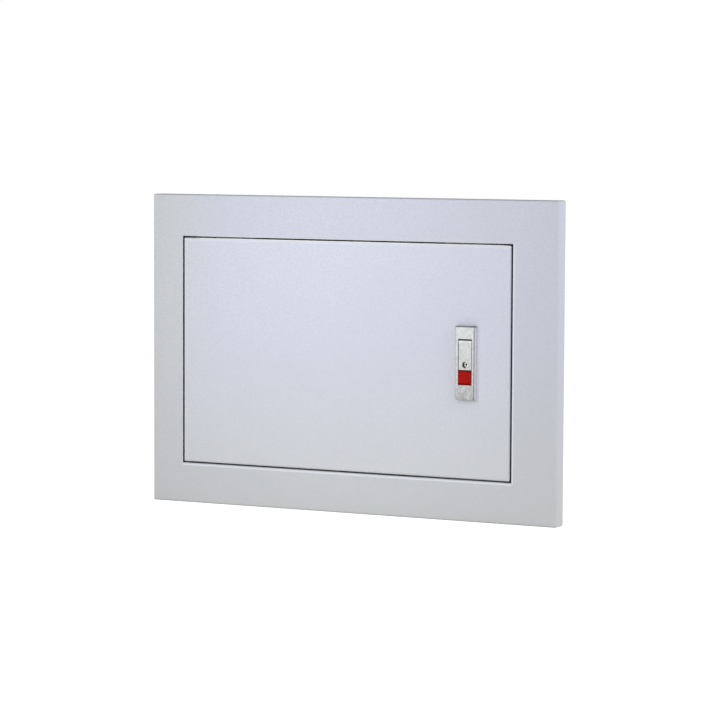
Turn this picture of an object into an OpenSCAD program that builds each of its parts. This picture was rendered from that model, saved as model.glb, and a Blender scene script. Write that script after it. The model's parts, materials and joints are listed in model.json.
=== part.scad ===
// Flush-mounted distribution box in sheet steel: a back box set into the wall,
// a cover frame with an inset hinged door, and a push-button lock in the door.
// +Z is up, +Y points into the wall and the front faces -Y. The origin is the
// centre of the back box's rear face. Sizes are in millimetres.

/* [Door opening] */
// Width of the door opening in the cover frame
opening_w = 351; // [347:1:420]
// Height of the door opening in the cover frame
opening_h = 221; // [205:1:300]
// Gap between the door and the edges of the opening
door_gap = 1.5; // [1.2:0.1:2]

/* [Cover frame] */
// Width of the frame to the left of the opening
border_left = 33; // [25:1:60]
// Width of the frame to the right of the opening
border_right = 46; // [30:1:60]
// Width of the frame above the opening
border_top = 40.5; // [25:0.5:60]
// Width of the frame below the opening
border_bottom = 38.5; // [25:0.5:60]
// Depth of the frame from its front face to the wall
frame_return = 15; // [15:0.5:20]
// Sheet thickness of the frame
frame_t = 1.2; // [0.8:0.1:1.5]
// Outside radius of the folds on the frame and the door
fold_r = 2; // [1.8:0.1:3]
// Outside radius of the folds round the opening
opening_fold_r = 1.6; // [1.6:0.1:2.5]
// Width of each fixing ear behind the opening
ear_w = 44; // [40:1:50]
// How far each ear reaches in from the edge of the opening
ear_reach = 12.5; // [12:0.5:16]
// Distance from the side of the opening to the middle of each ear
ear_inset = 52.5; // [52:0.5:70]

/* [Back box] */
// How far the box reaches past the opening on each side
box_margin = 10.5; // [6:0.5:15]
// Depth of the box behind the wall surface
box_d = 80; // [76:1:110]
// Sheet thickness of the box
box_t = 1.2; // [1:0.1:1.6]
// Outside radius of the box's rear folds
box_fold_r = 2.5; // [2:0.1:4]
// Distance from the box's sides to the wall fixing holes
wall_hole_inset_x = 36; // [20:1:60]
// Distance from the box's top and bottom to the wall fixing holes
wall_hole_inset_z = 31; // [22:1:40]
// Diameter of the wall fixing holes
wall_hole_d = 6.5; // [5:0.5:8]
// Diameter of a knock-out
knockout_d = 28; // [20:0.5:32]
// Distance between neighbouring knock-outs
knockout_pitch = 60; // [40:1:64]
// Knock-outs in the top, and as many in the bottom
knockout_count = 5; // [3:1:5]
// Width of the groove round a knock-out
knockout_groove = 0.8; // [0.5:0.1:1.2]

/* [Door] */
// Depth of the door from its front face to its rear edges
door_return = 10; // [10:0.5:12]
// Sheet thickness of the door
door_t = 1.2; // [0.8:0.1:1.5]
// Distance from the door's hinge edge to the hinge axis
hinge_inset = 11; // [10:0.5:13]
// Distance from the door's front face back to the hinge axis
hinge_setback = 8; // [7.5:0.1:8.5]
// Diameter of a hinge pin
pin_d = 4; // [3:0.5:5]
// Sheet thickness of the hinge brackets
bracket_t = 1.5; // [1.2:0.1:2]

/* [Lock] */
// Distance from the door's closing edge to the middle of the lock
lock_inset = 44; // [40:1:50]
// How far the middle of the lock lies below the middle of the opening
lock_drop = 0.5; // [0:0.5:10]
// Width of the bezel
bezel_w = 20; // [19:0.5:24]
// How far the bezel reaches past the lock body above and below
bezel_lip = 3.25; // [3.25:0.25:7]
// How far the bezel stands proud of the door
bezel_proud = 4.5; // [4:0.1:5]
// Radius of the bezel's front edges
bezel_edge_r = 0.6; // [0.3:0.1:0.9]
// Width of the lock body behind the bezel
lock_body_w = 16.4; // [16:0.1:17]
// Height of the lock body behind the bezel
lock_body_h = 62; // [61:0.5:64]
// Width of the handle and of the button
handle_w = 13.2; // [12:0.1:13.4]
// Height of the handle
handle_h = 28.5; // [27.5:0.5:29]
// Height of the handle's top edge above the middle of the lock
handle_top = 21.8; // [21.5:0.1:22.6]
// Thickness of the handle's plate
handle_t = 3; // [2.5:0.1:3.2]
// Height of the button
button_h = 13.2; // [12:0.1:14]
// Depth of the button from front to back
button_d = 7; // [7:0.1:7.5]
// Travel of the button
button_travel = 3; // [2:0.1:3]
// Diameter of the key cylinder
plug_d = 6; // [5:0.1:6.5]
// How far the key cylinder's face lies behind the handle's face
plug_recess = 3.5; // [0.5:0.5:4]
// Thickness of the latch bolt
latch_t = 2.5; // [2:0.1:2.8]
// Height of the latch bolt
latch_h = 14; // [12:0.5:16]
// How far the latch bolt reaches past the edge of the opening
latch_throw = 6.5; // [5:0.1:6.5]
// Travel of the latch bolt
latch_travel = 7.5; // [7.3:0.1:7.8]

/* [Inside the box] */
// Width of one modular device; the slot holds as many as fit
module_w = 17.5; // [17.5:0.1:18]
// Height of the slot for the devices in the inner panel
slot_h = 46; // [45:0.5:48]
// Least width of sheet at each end of the slot
slot_end = 11; // [8:1:20]
// Distance from the floor of the box to the back of the rail
rail_standoff = 9.3; // [8:0.1:16]
// Distance from the rail's front face to the inner panel's front face
rail_to_panel = 44; // [42:1:46]
// Gap between the inner panel and the edges of the opening
panel_gap = 4.5; // [4:0.5:8]
// Sheet thickness of the inner panel
panel_t = 1.2; // [1:0.1:1.5]
// Depth of the inner panel's folded edges
panel_return = 8; // [6:0.5:10]
// Distance from the inner panel's sides to the pillars
pillar_inset = 12; // [10:0.5:16]
// Distance from the slot's long edges to the pillars
pillar_offset = 39; // [30:1:44]
// Diameter of a pillar
pillar_d = 8; // [7:0.5:10]
// Length of the terminal bars
bar_l = 140; // [100:1:160]
// Height and depth of a terminal bar's section
bar_s = 8; // [7:0.5:9]
// Distance from the box's top or bottom to the middle of a terminal bar
bar_inset = 35; // [33:1:38]
// Terminals on each bar
terminal_count = 12; // [8:1:12]
// Distance between neighbouring terminals
terminal_pitch = 9; // [8:0.5:9]

/* [Hidden] */
$fn = 48;

// Colours
coat = "#ccd0d8";
zinc = "#c8ccce";
plated = "#b4b6b4";
galvanised = "#a6abad";
brass = "#c9a652";

// Clearances
pin_play = 0.05; // radial, a shaft that turns or a screw in its hole
slide_play = 0.3; // between parts that pass each other
lock_play = 0.4; // round the handle and the button
cut_play = 0.3; // round the lock body in the door's cut-out
overcut = 1; // how far a cut runs past the surface it opens

// Planes across the depth
wall_y = -box_d;
front_y = wall_y - frame_return;
box_floor_y = -box_t;
door_skin_y = front_y + door_t;
door_rear_y = front_y + door_return;
ear_front_y = wall_y - frame_t;

// Cover frame and box
frame_w = border_left + opening_w + border_right;
frame_h = border_bottom + opening_h + border_top;
frame_x = (border_right - border_left) / 2;
frame_z = (border_top - border_bottom) / 2;
box_w = opening_w + 2 * box_margin;
box_h = opening_h + 2 * box_margin;

knockout_tab = 3;

// Ears, lugs, buffers
lug_t = 1.5;
lug_foot = 20;
lug_w = 26;
lug_bend_r = 2;
ear_x = opening_w / 2 - ear_inset;
ear_screw_offset = 8;
ear_buffer_offset = 14;
ear_screw_x = ear_x - ear_screw_offset;
ear_buffer_x = ear_x + ear_buffer_offset;
ear_hole_z = opening_h / 2 - ear_reach / 2;
ear_slot_l = 10;
ear_slot_play = 0.5;
buffer_d = 8;
buffer_stem_d = 4;
buffer_barb_d = 5.4;
buffer_barb_l = 2;

// Screw sizes: shaft diameter, head diameter, head height
m5 = [5, 9.5, 2.8];
m4 = [4, 7.6, 2.4];
recess_w = 1;

// Lengths of the screws' shafts
cover_screw_l = 10;
panel_screw_l = 10;
lock_screw_l = 8;
rail_screw_l = 7;
bar_screw_l = 16;

// Hinge
door_w = opening_w - 2 * door_gap;
door_h = opening_h - 2 * door_gap;
pivot_x = -door_w / 2 + hinge_inset;
pivot_y = front_y + hinge_setback;
bracket_top_z = door_h / 2 - door_t;
hinge_notch = 5;
bracket_foot = 17;
bracket_w = 20;
bracket_rim = 5.5;
bracket_bend_r = 2;
pin_head_d = 7;
pin_head_h = 1.5;
pin_reach = 1.8;
pin_chamfer = 0.5;
clip_d = 6.4;
clip_t = 0.8;

// Lock, across its width and height
bezel_h = lock_body_h + 2 * bezel_lip;
lock_x = door_w / 2 - lock_inset;
lock_z = -lock_drop;
handle_bottom = handle_top - handle_h;
button_top = handle_bottom - lock_play;
button_bottom = button_top - button_h;
pocket_w = handle_w + 2 * lock_play;
hub_r = 2.5;
hub_z = handle_top - hub_r;
handle_edge_r = 0.4;
button_edge_r = 0.8;
handle_pin_d = 2;
plug_z = handle_bottom + 4.8;
plug_back = 8.2;
plug_l = plug_back - plug_recess;
plug_cam = [4, 1.2, 6.6];
plug_boss_d = 9.2;
plug_boss_l = 5;
keyway = [1, 2.6, 3];
lock_screw_z = 26.5;
lock_thread_l = 9;
boss_d = 7;
window_h = 15;

// Lock, through its depth
lock_face_y = front_y - bezel_proud;
hub_y = lock_face_y + hub_r;
lock_floor_t = 1.2;
lock_floor_y = door_rear_y - lock_floor_t;
latch_y = door_rear_y + slide_play;
lock_web_y = latch_y + latch_t + slide_play;
lock_web_t = 1.5;
lock_bracket_w = lock_body_w - 1.2;
leg_gap = 1.5;
arm_t = 3;
arm_w = 4;
arm_end_y = lock_web_y - lock_play;

// Latch bolt, measured from the middle of the lock
latch_tip = opening_w / 2 + latch_throw - lock_x;
latch_bevel = 5;
latch_edge_t = latch_t / 4;
cam_w = 4;
cam_gap = 0.5;
cam_run = 1.12;
cam_x = -arm_w / 2;
cam_left = cam_x - cam_w;
cam_top = hub_z - arm_t / 2 - cam_gap;
spring_stop_x = 14;
latch_spring_l = 9;
latch_spring_d = 5;
latch_window_h = 6.4;
latch_window_end = spring_stop_x + lock_web_t + latch_spring_l + latch_travel + slide_play;

// Button spring
spring_wire_d = 0.6;
button_bore_d = 6.6;
button_bore_depth = 5;
button_spring_d = 6;
button_spring_l = lock_floor_y - (lock_face_y + button_d - button_bore_depth + button_travel + slide_play);

// Inner panel and rail
panel_w = opening_w - 2 * panel_gap;
panel_h = opening_h - 2 * panel_gap;
module_count = floor((panel_w - 2 * slot_end) / module_w);
slot_play = 1;
slot_w = module_count * module_w + 2 * slot_play;
pillar_x = panel_w / 2 - pillar_inset;
pillar_z = slot_h / 2 + pillar_offset;
rail_overhang = 4;
rail_l = slot_w + 2 * rail_overhang;
rail_w = 35;
rail_d = 7.5;
rail_y = box_floor_y - rail_standoff - rail_d;
panel_y = rail_y - rail_to_panel;
rail_t = 1;
rail_lip = 5;
rail_slot = [15, 6.2];
rail_slot_pitch = 25;
rail_slots = 2 * floor(rail_l / rail_slot_pitch / 2);
rail_bracket_x = (rail_slots - 1) / 2 * rail_slot_pitch;
rail_bracket_w = 22;
rail_bracket_t = 1.5;
rail_bracket_foot = 11;

// Terminal bars
bar_z = box_h / 2 - bar_inset;
insulator_h = 25;
earth_pillar_h = 12;
insulator_w = 16;
post_floor = 2;
bar_fixing_inset = 8;
bar_fixing_x = bar_l / 2 - bar_fixing_inset;
terminal_bore_d = 4.6;
terminal_screw = [4, 5.6, 3];

// Earth studs
stud_d = 6;
stud_l = 12;
nut_across = 10;
nut_h = 5;
washer_d = 12.5;
washer_t = 1.2;
box_stud_inset = [62, 55];
door_stud_inset = [53, 24];
box_stud = [box_w / 2 - box_stud_inset[0], -box_h / 2 + box_stud_inset[1]];
door_stud = [-door_w / 2 + door_stud_inset[0], -door_h / 2 + door_stud_inset[1]];

// ---- shapes that repeat ----

// Outline of a folded sheet seen from its edge: x across, y from the front face back
module fold_profile(w, d, r) {
    translate([-w / 2, r]) square([w, d - r]);
    translate([-w / 2 + r, 0]) square([w - 2 * r, d]);
    for (side = [-1, 1]) translate([side * (w / 2 - r), r]) circle(r);
}

// Rectangle with rounded corners
module corner_profile(w, h, r) {
    square([w - 2 * r, h], center = true);
    square([w, h - 2 * r], center = true);
    for (side_x = [-1, 1], side_y = [-1, 1])
        translate([side_x * (w / 2 - r), side_y * (h / 2 - r)]) circle(r);
}

// Block with its front face on y = 0; its four front edges and its corners are rounded
module folded_block(w, h, d, r) {
    intersection() {
        linear_extrude(h, center = true) fold_profile(w, d, r);
        rotate([0, -90, 0]) linear_extrude(w, center = true) fold_profile(h, d, r);
        rotate([-90, 0, 0]) linear_extrude(d) corner_profile(w, h, r);
    }
}

// Tray folded from sheet, open at the back
module folded_pan(w, h, d, t, r) {
    difference() {
        folded_block(w, h, d, r);
        translate([0, t, 0]) folded_block(w - 2 * t, h - 2 * t, d, r - t);
    }
}

// Cross-section of a folded angle with its outer corner on the origin
module angle_profile(leg_x, leg_y, t, r) {
    translate([r, 0]) square([leg_x - r, t]);
    translate([0, r]) square([t, leg_y - r]);
    intersection() {
        translate([r, r]) difference() {
            circle(r);
            circle(r - t);
        }
        square(r);
    }
}

// Angle lying along x: its first leg runs up z, its second runs back along y
module angle_bar(leg_z, leg_y, t, r, l) {
    rotate([0, -90, 0]) linear_extrude(l, center = true) angle_profile(leg_z, leg_y, t, r);
}

// Cylinder along y from y = 0 back
module rod_y(d, l) {
    rotate([-90, 0, 0]) cylinder(h = l, d = d);
}

// Cylinder along x, centred
module rod_x(d, l) {
    rotate([0, 90, 0]) cylinder(h = l, d = d, center = true);
}

// Box placed by its lowest and highest corner
module span(low, high) {
    translate(low) cube(high - low);
}

// Pan-head screw along y: the head sits on y = 0 and the shaft runs back
module screw(size, l) {
    head_d = size[1];
    head_h = size[2];
    recess = head_d * 0.55;
    difference() {
        union() {
            rod_y(size[0], l);
            translate([0, -head_h * 0.5, 0]) rod_y(head_d, head_h * 0.5);
            translate([0, -head_h * 0.5, 0]) rotate([90, 0, 0])
                cylinder(h = head_h * 0.5, d1 = head_d, d2 = head_d * 0.7);
        }
        for (turn = [0, 90]) rotate([0, turn, 0])
            translate([-recess / 2, -head_h - overcut, -recess_w / 2])
                cube([recess, head_h * 0.5 + overcut, recess_w]);
    }
}

// Slotted cheese-head screw along y, seated like screw()
module slotted_screw(size, l) {
    difference() {
        union() {
            rod_y(size[0], l);
            translate([0, -size[2], 0]) rod_y(size[1], size[2]);
        }
        translate([-size[1] / 2, -size[2] - overcut, -recess_w / 2])
            cube([size[1], size[2] * 0.4 + overcut, recess_w]);
    }
}

// Slot through a sheet: two half rounds joined along x, cut along y
module slot_y(size, l) {
    straight = size[0] - size[1];
    for (side = [-1, 1]) translate([side * straight / 2, 0, 0]) rod_y(size[1], l);
    translate([-straight / 2, 0, -size[1] / 2]) cube([straight, l, size[1]]);
}

// Repeats a child at both ends of a pitch, mirrored left to right
module left_and_right() {
    children();
    mirror([1, 0, 0]) children();
}

// Repeats a child above and below the middle, mirrored top to bottom
module above_and_below() {
    children();
    mirror([0, 0, 1]) children();
}

// One ring of a coil: a small polygon round the helix at the given turn
function coil_ring(angle, coil_r, wire_r, lift, sides) = [
    for (side = [0 : sides - 1])
        let (around = 360 * side / sides, reach = coil_r + wire_r * cos(around))
            [reach * cos(angle), reach * sin(angle), lift + wire_r * sin(around)]
];

// Compression spring standing on z = 0, drawn as a swept wire
module coil_spring(d, l, wire_d, turns) {
    sides = 8;
    steps = 16 * turns;
    coil_r = (d - wire_d) / 2;
    rise = l - wire_d;
    points = [
        for (step = [0 : steps])
            each coil_ring(360 * step / 16, coil_r, wire_d / 2, wire_d / 2 + rise * step / steps, sides)
    ];
    walls = [
        for (step = [0 : steps - 1], side = [0 : sides - 1])
            let (next = (side + 1) % sides, low = step * sides, high = low + sides)
                [low + side, high + side, high + next, low + next]
    ];
    first_end = [for (side = [0 : sides - 1]) side];
    last_end = [for (side = [sides - 1 : -1 : 0]) steps * sides + side];
    polyhedron(points, concat(walls, [first_end, last_end]), convexity = 8);
}

// Nut and washer on a stud, from the washer's seat at y = 0 forward
module nut_and_washer() {
    difference() {
        union() {
            translate([0, -washer_t, 0]) rod_y(washer_d, washer_t);
            translate([0, -washer_t - nut_h, 0]) rotate([-90, 0, 0])
                cylinder(h = nut_h, d = nut_across / cos(30), $fn = 6);
        }
        translate([0, -washer_t - nut_h - overcut, 0])
            rod_y(stud_d + 2 * pin_play, washer_t + nut_h + 2 * overcut);
    }
}

// ---- back box and cover ----

// Groove that marks a knock-out in the top of the box
module knockout_groove() {
    difference() {
        cylinder(h = box_t, d = knockout_d);
        translate([0, 0, -overcut]) cylinder(h = box_t + 2 * overcut, d = knockout_d - 2 * knockout_groove);
        cube([knockout_d + 2 * overcut, knockout_tab, 3 * box_t], center = true);
    }
}

module back_box() {
    color(galvanised) difference() {
        rotate([0, 0, 180]) folded_pan(box_w, box_h, box_d, box_t, box_fold_r);
        for (side_x = [-1, 1], side_z = [-1, 1])
            translate([side_x * (box_w / 2 - wall_hole_inset_x), box_floor_y - overcut,
                       side_z * (box_h / 2 - wall_hole_inset_z)])
                rod_y(wall_hole_d, box_t + 2 * overcut);
        for (i = [0 : knockout_count - 1])
            above_and_below() translate([
                (i - (knockout_count - 1) / 2) * knockout_pitch, -box_d / 2, box_h / 2 - box_t / 2
            ]) knockout_groove();
    }
}

// Angles welded inside the mouth of the box, one behind each ear
module cover_lugs() {
    color(galvanised) left_and_right() above_and_below()
        difference() {
            translate([ear_screw_x, wall_y, box_h / 2 - box_t])
                mirror([0, 0, 1])
                    angle_bar(box_margin + ear_reach - box_t, lug_foot, lug_t, lug_bend_r, lug_w);
            translate([ear_screw_x, wall_y - overcut, ear_hole_z])
                rod_y(m5[0] + 2 * pin_play, lug_t + 2 * overcut);
        }
}

// Sheet folded back round three sides of the opening; the hinge side stays a plain edge
module opening_flanges() {
    reach = opening_fold_r;
    above_and_below()
        translate([reach / 2, front_y, opening_h / 2])
            angle_bar(reach + overcut, frame_return, frame_t, opening_fold_r, opening_w + reach);
    translate([opening_w / 2, front_y, 0])
        linear_extrude(opening_h + 2 * reach, center = true)
            angle_profile(reach + overcut, door_return, frame_t, opening_fold_r);
}

// Ears folded in from the rear edges of the upper and lower flanges
module frame_ears() {
    left_and_right() above_and_below()
        span([ear_x - ear_w / 2, ear_front_y, opening_h / 2 - ear_reach],
             [ear_x + ear_w / 2, wall_y, opening_h / 2 + frame_t]);
}

module cover_frame() {
    color(coat) difference() {
        union() {
            difference() {
                translate([frame_x, front_y, frame_z])
                    folded_pan(frame_w, frame_h, frame_return, frame_t, fold_r);
                span([-opening_w / 2, front_y - overcut, -opening_h / 2 - opening_fold_r],
                     [opening_w / 2 + opening_fold_r, wall_y, opening_h / 2 + opening_fold_r]);
            }
            opening_flanges();
            frame_ears();
        }
        translate([pivot_x, pivot_y, 0])
            cylinder(h = opening_h + 2 * frame_t + 2 * overcut, d = pin_d + 2 * pin_play, center = true);
        left_and_right() above_and_below() {
            translate([ear_screw_x, ear_front_y - overcut, ear_hole_z])
                slot_y([ear_slot_l, m5[0] + ear_slot_play], frame_t + 2 * overcut);
            translate([ear_buffer_x, ear_front_y - overcut, ear_hole_z])
                rod_y(buffer_stem_d + 2 * pin_play, frame_t + 2 * overcut);
        }
    }
}

module cover_screws() {
    color(plated) left_and_right() above_and_below()
        translate([ear_screw_x, ear_front_y, ear_hole_z]) screw(m5, cover_screw_l);
}

// Rubber stops that the door's rear edges rest on
module door_buffers() {
    buffer_l = ear_front_y - door_rear_y - slide_play;
    color("#2b2c2e") left_and_right() above_and_below()
        translate([ear_buffer_x, ear_front_y, ear_hole_z]) {
            translate([0, -buffer_l, 0]) rod_y(buffer_d, buffer_l);
            rod_y(buffer_stem_d, frame_t + buffer_barb_l);
            translate([0, frame_t, 0]) rotate([-90, 0, 0])
                cylinder(h = buffer_barb_l, d1 = buffer_barb_d, d2 = buffer_stem_d - 1);
        }
}

// ---- door and hinge ----

// Door pan, with its upper and lower edges cut away round the hinge pins
module door() {
    cut_w = lock_body_w + 2 * cut_play;
    cut_h = lock_body_h + 2 * cut_play;
    notch_z = door_h / 2 - door_t;
    color(coat) difference() {
        translate([0, front_y, 0]) folded_pan(door_w, door_h, door_return, door_t, fold_r);
        translate([lock_x, front_y, lock_z]) cube([cut_w, 3 * door_t, cut_h], center = true);
        above_and_below()
            span([-door_w / 2 - overcut, front_y + fold_r, notch_z],
                 [pivot_x + hinge_notch, door_rear_y + overcut, door_h / 2 + overcut]);
    }
}

// Angles welded inside the door's upper and lower corners
module hinge_brackets() {
    middle_x = pivot_x + 1;
    depth = hinge_setback - door_t + bracket_rim;
    color(plated) above_and_below()
        difference() {
            translate([middle_x, door_skin_y, bracket_top_z])
                mirror([0, 0, 1]) angle_bar(bracket_foot, depth, bracket_t, bracket_bend_r, bracket_w);
            translate([pivot_x, pivot_y, bracket_top_z - bracket_t - overcut])
                cylinder(h = bracket_t + 2 * overcut, d = pin_d + 2 * pin_play);
        }
}

// Headed pins, put in from inside the door and out through the frame's flanges
module hinge_pins() {
    seat_z = bracket_top_z - bracket_t;
    pin_l = opening_h / 2 + frame_t + pin_reach - seat_z;
    color(plated) above_and_below()
        translate([pivot_x, pivot_y, seat_z]) {
            translate([0, 0, -pin_head_h]) cylinder(h = pin_head_h, d = pin_head_d);
            cylinder(h = pin_l - pin_chamfer, d = pin_d);
            translate([0, 0, pin_l - pin_chamfer])
                cylinder(h = pin_chamfer, d1 = pin_d, d2 = pin_d - 2 * pin_chamfer);
        }
}

// Open spring clips that hold the pins in their brackets
module hinge_clips() {
    color(plated) above_and_below()
        translate([pivot_x, pivot_y, bracket_top_z]) difference() {
            cylinder(h = clip_t, d = clip_d);
            translate([0, 0, -overcut]) cylinder(h = clip_t + 2 * overcut, d = pin_d);
            translate([0, -pin_d / 4, -overcut]) cube([clip_d, pin_d / 2, clip_t + 2 * overcut]);
        }
}

module door_earth_stud() {
    color(plated) translate([door_stud[0], door_skin_y, door_stud[1]]) rod_y(stud_d, stud_l);
}

module door_earth_nut() {
    color(brass) translate([door_stud[0], door_skin_y, door_stud[1]]) rotate([0, 0, 180]) nut_and_washer();
}

// ---- lock ----

module lock_bezel() {
    pocket_high = handle_top + lock_play;
    pocket_low = button_bottom - lock_play;
    window_low = pocket_high - window_h;
    color(zinc) translate([lock_x, 0, lock_z]) difference() {
        union() {
            translate([0, lock_face_y, 0]) folded_block(bezel_w, bezel_h, bezel_proud, bezel_edge_r);
            span([-lock_body_w / 2, front_y - bezel_proud / 2, -lock_body_h / 2],
                 [lock_body_w / 2, door_rear_y, lock_body_h / 2]);
            above_and_below()
                translate([0, door_rear_y, lock_screw_z]) rod_y(boss_d, lock_web_y - door_rear_y);
        }
        span([-pocket_w / 2, lock_face_y - overcut, pocket_low], [pocket_w / 2, lock_floor_y, pocket_high]);
        span([-arm_w / 2 - 1, lock_floor_y - overcut, window_low],
             [arm_w / 2 + 1, door_rear_y + overcut, pocket_high]);
        translate([0, hub_y, hub_z]) rod_x(handle_pin_d + 2 * pin_play, lock_body_w);
        above_and_below() translate([0, lock_web_y - lock_thread_l, lock_screw_z])
            rod_y(m4[0] + 2 * pin_play, lock_thread_l + overcut);
    }
}

// Handle with its hub at the top, the arm that moves the bolt and a boss for the key cylinder
module lock_handle() {
    plate_h = hub_z - handle_bottom;
    color(zinc) translate([lock_x, 0, lock_z]) difference() {
        union() {
            translate([0, lock_face_y, handle_bottom + plate_h / 2])
                folded_block(handle_w, plate_h, handle_t, handle_edge_r);
            translate([0, hub_y, hub_z]) rod_x(2 * hub_r, handle_w);
            span([-handle_w / 2, lock_face_y, hub_z - 1], [handle_w / 2, lock_face_y + handle_t, hub_z]);
            span([-arm_w / 2, hub_y, hub_z - arm_t / 2], [arm_w / 2, arm_end_y, hub_z + arm_t / 2]);
            translate([0, lock_face_y + handle_t / 2, plug_z]) rod_y(plug_boss_d, plug_boss_l);
        }
        translate([0, hub_y, hub_z]) rod_x(handle_pin_d + 2 * pin_play, handle_w + 2 * overcut);
        translate([0, lock_face_y - overcut, plug_z]) rod_y(plug_d + 2 * pin_play, plug_back + 2 * overcut);
    }
}

module handle_pin() {
    color(plated) translate([lock_x, hub_y, lock_z + hub_z]) rod_x(handle_pin_d, lock_body_w - lock_play);
}

// Key cylinder with its keyway in front and a cam behind
module key_cylinder() {
    color(plated) translate([lock_x, lock_face_y + plug_recess, lock_z + plug_z]) difference() {
        union() {
            rod_y(plug_d, plug_l);
            translate([-plug_cam[0] / 2, plug_l - plug_cam[1], plug_d / 2 - plug_cam[2]]) cube(plug_cam);
        }
        translate([-keyway[0] / 2, -overcut, -keyway[2] / 2])
            cube([keyway[0], keyway[1] + overcut, keyway[2]]);
        translate([0, -overcut, keyway[0] / 2]) rod_y(2 * keyway[0], keyway[1] + overcut);
    }
}

module lock_button() {
    color("#c02018") translate([lock_x, lock_face_y, lock_z + button_bottom + button_h / 2]) difference() {
        folded_block(handle_w, button_h, button_d, button_edge_r);
        translate([0, button_d - button_bore_depth, 0]) rod_y(button_bore_d, button_bore_depth + overcut);
    }
}

module button_spring() {
    color(plated) translate([lock_x, lock_floor_y, lock_z + button_bottom + button_h / 2])
        rotate([90, 0, 0]) coil_spring(button_spring_d, button_spring_l, spring_wire_d, 5);
}

// Outline of the bolt: a bar with a sloping cam face that the handle's arm pushes down on
module latch_outline() {
    half_h = latch_h / 2;
    polygon([
        [cam_left, -half_h], [latch_tip, -half_h], [latch_tip, half_h],
        [cam_x + (cam_top - half_h) * cam_run, half_h], [cam_x, cam_top], [cam_left, cam_top]
    ]);
}

module latch_bolt() {
    color(plated) translate([lock_x, latch_y, lock_z]) difference() {
        intersection() {
            translate([0, latch_t, 0]) rotate([90, 0, 0]) linear_extrude(latch_t) latch_outline();
            linear_extrude(4 * latch_h, center = true) polygon([
                [cam_left - overcut, 0], [latch_tip, 0], [latch_tip, latch_edge_t],
                [latch_tip - latch_bevel, latch_t], [cam_left - overcut, latch_t]
            ]);
        }
        span([spring_stop_x - slide_play, -overcut, -latch_window_h / 2],
             [latch_window_end, latch_t + overcut, latch_window_h / 2]);
    }
}

module latch_spring() {
    color(plated)
        translate([lock_x + spring_stop_x + lock_web_t, latch_y + latch_t / 2, lock_z])
            rotate([0, 90, 0]) coil_spring(latch_spring_d, latch_spring_l, spring_wire_d, 7);
}

// Channel behind the lock: its legs clamp the door, its web guides the bolt and stops the spring
module lock_bracket() {
    half_w = lock_bracket_w / 2;
    leg_in = lock_body_h / 2 + leg_gap;
    leg_out = leg_in + lock_web_t;
    stop_h = latch_window_h - 2;
    web_back_y = lock_web_y + lock_web_t;
    color(galvanised) translate([lock_x, 0, lock_z]) difference() {
        union() {
            span([-half_w, lock_web_y, -leg_out], [half_w, web_back_y, leg_out]);
            above_and_below() span([-half_w, door_skin_y, leg_in], [half_w, web_back_y, leg_out]);
            span([0, lock_web_y, -stop_h / 2], [spring_stop_x + lock_web_t, web_back_y, stop_h / 2]);
            span([spring_stop_x, latch_y - 1, -stop_h / 2],
                 [spring_stop_x + lock_web_t, web_back_y, stop_h / 2]);
        }
        above_and_below() translate([0, lock_web_y - overcut, lock_screw_z])
            rod_y(m4[0] + 2 * pin_play, lock_web_t + 2 * overcut);
    }
}

module lock_screws() {
    color(plated) translate([lock_x, lock_web_y + lock_web_t, lock_z]) above_and_below()
        translate([0, 0, lock_screw_z]) rotate([0, 0, 180]) screw(m4, lock_screw_l);
}

// ---- inside the box ----

// Places for what stands on the four pillars
module at_pillars() {
    for (side_x = [-1, 1], side_z = [-1, 1])
        translate([side_x * pillar_x, 0, side_z * pillar_z]) children();
}

module inner_panel() {
    color(coat) difference() {
        translate([0, panel_y, 0]) folded_pan(panel_w, panel_h, panel_return, panel_t, fold_r);
        span([-slot_w / 2, panel_y - overcut, -slot_h / 2],
             [slot_w / 2, panel_y + panel_t + overcut, slot_h / 2]);
        at_pillars() translate([0, panel_y - overcut, 0])
            rod_y(m4[0] + 2 * pin_play, panel_t + 2 * overcut);
    }
}

module panel_pillars() {
    pillar_l = box_floor_y - panel_y - panel_t;
    thread_l = panel_screw_l + 4;
    color(plated) at_pillars() translate([0, panel_y + panel_t, 0]) difference() {
        rod_y(pillar_d, pillar_l);
        translate([0, -overcut, 0]) rod_y(m4[0] + 2 * pin_play, thread_l + overcut);
    }
}

module panel_screws() {
    color(plated) at_pillars() translate([0, panel_y, 0]) screw(m4, panel_screw_l);
}

// Half of the rail's hat section: x along the rail's height, y back from its front face
module rail_half() {
    channel = rail_w / 2 - rail_lip;
    translate([channel, 0]) square([rail_lip, rail_t]);
    translate([channel, 0]) square([rail_t, rail_d]);
    translate([0, rail_d - rail_t]) square([channel + rail_t, rail_t]);
}

module din_rail() {
    color(galvanised) translate([0, rail_y, 0]) difference() {
        rotate([0, -90, 0]) linear_extrude(rail_l, center = true) {
            rail_half();
            mirror([1, 0]) rail_half();
        }
        for (i = [0 : rail_slots - 1])
            translate([(i - (rail_slots - 1) / 2) * rail_slot_pitch, rail_d - rail_t - overcut, 0])
                slot_y(rail_slot, rail_t + 2 * overcut);
    }
}

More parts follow.
